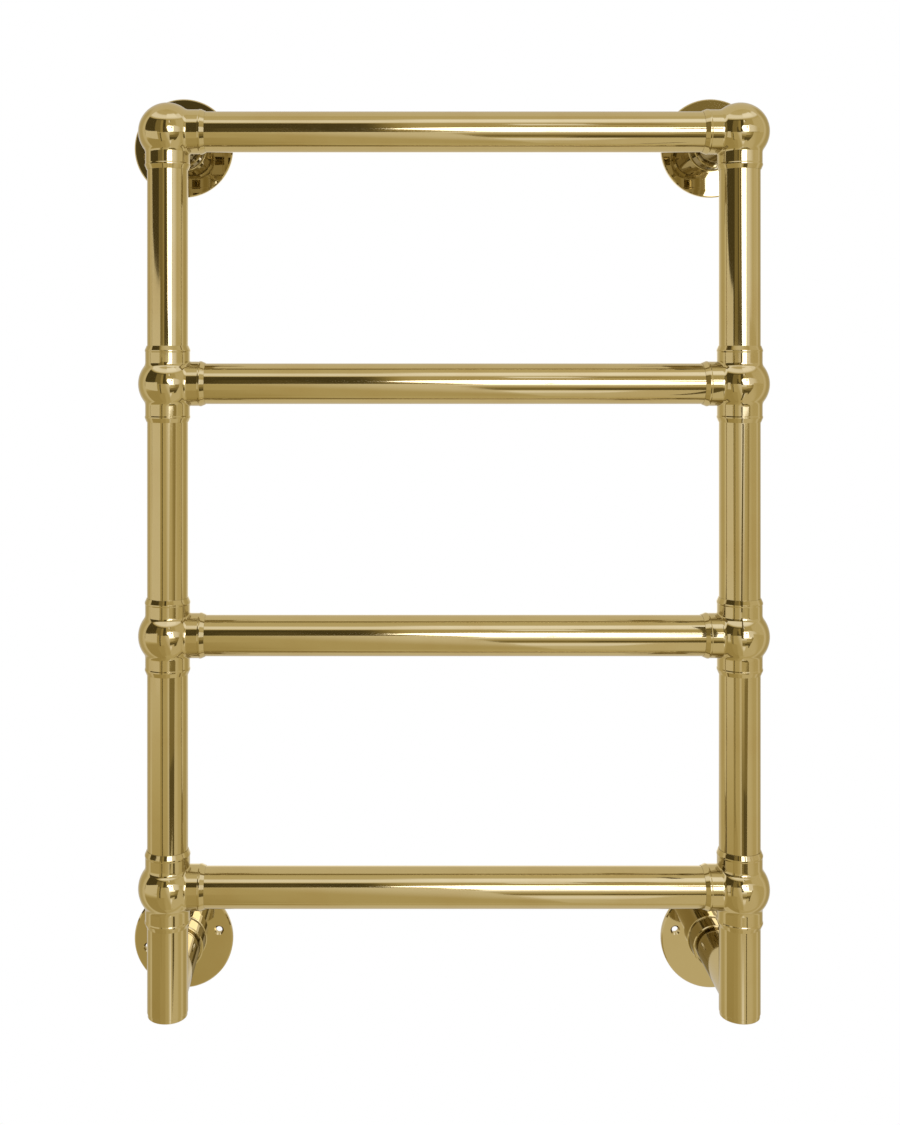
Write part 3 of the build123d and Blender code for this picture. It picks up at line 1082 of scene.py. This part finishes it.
# %% Directions and brightness
world = bpy.data.worlds.new("studio")
bpy.context.scene.world = world
tree = emptied_tree(world)
direction = tree.nodes.new("ShaderNodeTexCoord").outputs["Generated"]
to_right, to_wall, to_top = add_node(tree, "SeparateXYZ", {0: direction}).outputs
to_viewer = add_math(tree, "MULTIPLY", to_wall, -1.0)
azimuth = add_math(tree, "DEGREES", add_math(tree, "ARCTAN2", to_right, to_viewer))
elevation = add_math(tree, "DEGREES", add_math(tree, "ARCSINE", to_top))
behind = add_math(tree, "MODULO", add_math(tree, "ADD", azimuth, 360.0), 360.0)

level = room_level
for *edges, brightness in far_cards.values():
    level = add_float_mix(tree, add_card(tree, azimuth, elevation, *edges), level, brightness)
on_wall = add_range(tree, to_wall, -0.02, 0.03, 0.0, 1.0)
level = add_float_mix(tree, on_wall, level, wall_level)
for *edges, brightness in rear_cards.values():
    level = add_float_mix(tree, add_card(tree, behind, elevation, *edges), level, brightness)
sockets = {0: light_colour(tree, level), "Scale": level}
painted = add_node(tree, "VectorMath", sockets, operation="SCALE").outputs[0]
print("painted cards:", len(far_cards) + len(rear_cards))

# %% White for the camera, the room for metal
white = (1.0, 1.0, 1.0, 1.0)
paths = tree.nodes.new("ShaderNodeLightPath").outputs
mirrored = add_math(tree, "MAXIMUM", paths["Is Glossy Ray"], paths["Is Transmission Ray"])
behind_rail = add_card(tree, behind, elevation, *background_card)
shows_background = add_math(tree, "MULTIPLY", mirrored, behind_rail)
sees_room = add_math(tree, "SUBTRACT", mirrored, shows_background)
background = add_node(tree, "Background", {"Color": add_mix(tree, sees_room, white, painted)})
add_node(tree, "OutputWorld", {"Surface": background.outputs[0]})
print("world nodes:", len(tree.nodes))

# %% Near cards
hidden_from = ("camera", "diffuse", "shadow", "transmission", "volume_scatter")


def near_card(name, outline, distance, brightness, fade=None, radiance=1.0):
    """A flat card in front of the tubes, in metres, seen only in reflections. A fade is two
    points and a second brightness: the card turns from the first to the second between them,
    where a place p is (p - p0).(p1 - p0) / |p1 - p0|^2 of the way."""
    y = axis_y * MM - distance
    mesh = bpy.data.meshes.new(name)
    mesh.from_pydata([(x, y, z) for x, z in outline], [], [range(len(outline))])
    material = bpy.data.materials.new(name)
    tree = emptied_tree(material)
    colour = glow_colour(brightness)
    if fade:
        (x0, z0), (x1, z1), other = fade
        length = (x1 - x0) ** 2 + (z1 - z0) ** 2
        line = ((x1 - x0) / length, 0, (z1 - z0) / length)
        sockets = {0: object_place(tree), 1: line}
        along = add_node(tree, "VectorMath", sockets, operation="DOT_PRODUCT").outputs["Value"]
        start = x0 * line[0] + z0 * line[2]
        share = add_range(tree, along, start, start + 1, 0.0, 1.0)
        colour = add_mix(tree, share, colour, glow_colour(other))
    glow = add_node(tree, "Emission", {"Color": colour, "Strength": radiance})
    add_node(tree, "OutputMaterial", {"Surface": glow.outputs[0]})
    mesh.materials.append(material)
    card = new_object(name, mesh)
    for kind in hidden_from:
        setattr(card, "visible_" + kind, False)


def strip(left, right, low, high):
    return [(left, low), (right, low), (right, high), (left, high)]


# %% The window, with the wall and the floor beyond it
window_radiance, low_window_radiance = 3.0, 1.5
window_outline = [
    (-0.03, 0.74), (0.18, 0.18), (0.24, 0.07), (1.16, 0.07), (1.16, 1.07), (0.19, 1.07),
    (0.04, 0.93),
]
dark_outline = [
    (0.5, -1.7), (6.0, -2.7), (6.0, -1.6), (1.94, -1.10), (1.34, -1.0), (0.65, -0.93),
    (0.5, -0.92),
]
near_card("window", window_outline, 2.40, 1.0, radiance=window_radiance)
near_card("window_catch", strip(0.368, 0.384, 0.08, 0.44), 2.38, 0.45)
near_card("window_blind", strip(0.68, 0.97, 0.685, 0.90), 2.38, 0.23)
near_card("window_side", strip(1.16, 7.0, 0.05, 1.3), 2.41, 0.80, ((1.3, 0), (4.5, 0), 0.54))
near_card("window_low", strip(0.30, 2.6, -0.10, 0.9), 3.79, 1.0, radiance=low_window_radiance)
near_card("under_window", strip(-0.3, 1.03, -0.92, -0.1), 3.80, 0.82, ((0, -0.1), (0, -0.92), 0.46))
near_card("low_wall", strip(-0.3, 1.03, -2.4, -0.92), 3.80, 0.50, ((0, -0.92), (0, -1.45), 0.22))
near_card("side_wall", strip(1.03, 10.0, -1.0, 0.09), 3.80, 0.52, ((1.4, 0), (3.4, 0), 0.30))
near_card("low_side", strip(1.03, 10.0, -2.7, -1.0), 3.80, 0.22)
near_card("dark_gap", dark_outline, 2.40, 0.11)
near_card("pale_patch", strip(0.34, 0.57, 1.75, 2.30), 2.50, 0.82)
near_card("dark_patch", strip(0.57, 0.81, 1.95, 2.40), 2.50, 0.30)

# %% Nearer things
floor_outline = [
    (0.47, -4.0), (1.3, -4.0), (1.3, -1.15), (0.74, -1.15), (0.74, -0.79), (0.47, -0.79),
]
table_outline = [(-1.02, -4.0), (0.60, -4.0), (0.16, -0.72), (0.05, 0.15), (-1.02, 0.15)]
panel_outline = [
    (-0.32, 0.14), (0.05, 0.14), (0.02, 0.19), (-0.05, 0.22), (-0.12, 0.27), (-0.19, 0.43),
    (-0.19, 0.6), (-0.32, 0.6),
]
side_outline = [
    (-60.0, -12.0), (-5.4, -1.2), (-0.83, -0.37), (-0.83, 0.255), (-1.32, 0.275), (-2.75, 0.366),
    (-5.4, 0.60), (-10.7, 1.06), (-60.0, 8.0),
]
right_outline = [
    (0.60, -4.0), (60.0, -9.0), (60.0, 0.2), (0.95, 0.2), (0.90, -0.1), (0.67, -0.45),
    (0.62, -0.6),
]
post_outline = [(0.2105, -0.06), (0.2225, -0.06), (0.236, 0.097), (0.2238, 0.097)]
near_card("floor_edge", strip(0.02, 0.47, -1.08, -0.79), 1.38, 0.50, ((0, -0.79), (0, -1.02), 0.82))
near_card("pale_floor", strip(0.02, 0.47, -4.0, -1.08), 1.38, 0.82, ((0, -1.15), (0, -1.95), 0.60))
near_card("floor_side", floor_outline, 1.38, 0.58)
near_card("table", table_outline, 1.20, 0.48, ((-0.35, 0.0), (-0.03, 0.10), 0.66))
near_card("table_low", strip(-1.02, -0.20, -4.0, -0.66), 1.19, 0.41, ((-0.42, 0), (-0.22, 0), 0.47))
near_card("dark_panel", panel_outline, 1.21, 0.10)
near_card("stand", strip(-0.655, -0.565, -0.64, 0.14), 0.99, 0.10)
near_card("table_side", strip(-0.86, -0.665, -0.8, 0.14), 0.98, 0.38)
near_card("pale_left", side_outline, 0.92, 0.64)
near_card("right_box", right_outline, 0.85, 0.58, ((0.75, -0.45), (1.6, 0.1), 0.50))
near_card("post", post_outline, 0.10, 0.11)

# %% [markdown]
# ## Floor, key light and camera
# The floor is plain and pale, well below the rail, and shows in the views from above. One large
# soft lamp gives its shadow. The camera stands where the photograph's perspective puts it:
# a little left of the middle and half way up, looking straight at the wall. Its sensor is
# shifted, as a view camera's is, so that the uprights stay upright.

# %% Floor
floor_height = -1.05
floor_reach, floor_back = 4.0, 0.8
floor_mesh = bpy.data.meshes.new("floor")
edges = -floor_reach, floor_reach, -floor_reach, floor_back
corners = [(x, y, floor_height) for x, y in strip(*edges)]
floor_mesh.from_pydata(corners, [], [(0, 1, 2, 3)])
floor = new_object("floor", floor_mesh)
floor_material, floor_tree, floor_shader = new_material("pale_floor")
speckle = add_noise(floor_tree, object_place(floor_tree), scale=6.0, detail=3.0)
pale = add_mix(floor_tree, speckle, (0.86, 0.86, 0.85, 1), (0.9, 0.9, 0.89, 1))
fill(floor_tree, floor_shader, {"Base Color": pale, "Roughness": 0.7})
floor_mesh.materials.append(floor_material)
floor.visible_glossy = False
print("floor at", floor_height, "m")

# %% Key light
key_size, key_power = 1.2, 18.0
key_aim = Vector((0, 0, -0.2))
key = bpy.data.lights.new("key", "AREA")
key.shape, key.size, key.size_y, key.energy = "RECTANGLE", key_size, key_size, key_power
key_object = new_object("key", key)
key_object.location = (-0.9, -1.6, 2.2)
aim = key_aim - key_object.location
key_object.rotation_euler = aim.to_track_quat("-Z", "Y").to_euler()
key_object.visible_camera = False
key_object.visible_glossy = False
print("key light:", key_power, "W,", key_size, "m wide")

# %% Camera
camera_place = np.array([-64.8, -1210.0, 167.9])
focal_pixels, photo_width, photo_height = 1411.0, 900, 1125
vanishing_x, vanishing_y = 371.3, 338.4
camera_data = bpy.data.cameras.new("camera")
camera_data.sensor_fit = "AUTO"
camera_data.sensor_width = 36.0
camera_data.lens = focal_pixels / photo_height * camera_data.sensor_width
camera_data.shift_x = (photo_width / 2 - vanishing_x) / photo_height
camera_data.shift_y = -(photo_height / 2 - vanishing_y) / photo_height
camera = new_object("camera", camera_data)
camera.location = camera_place * MM
camera.rotation_euler = (pi / 2, 0, 0)
bpy.context.scene.camera = camera
bpy.context.scene.view_settings.view_transform = "Standard"
shift = round(camera_data.shift_x, 3), round(camera_data.shift_y, 3)
print("lens", round(camera_data.lens, 2), "mm, shift", *shift)
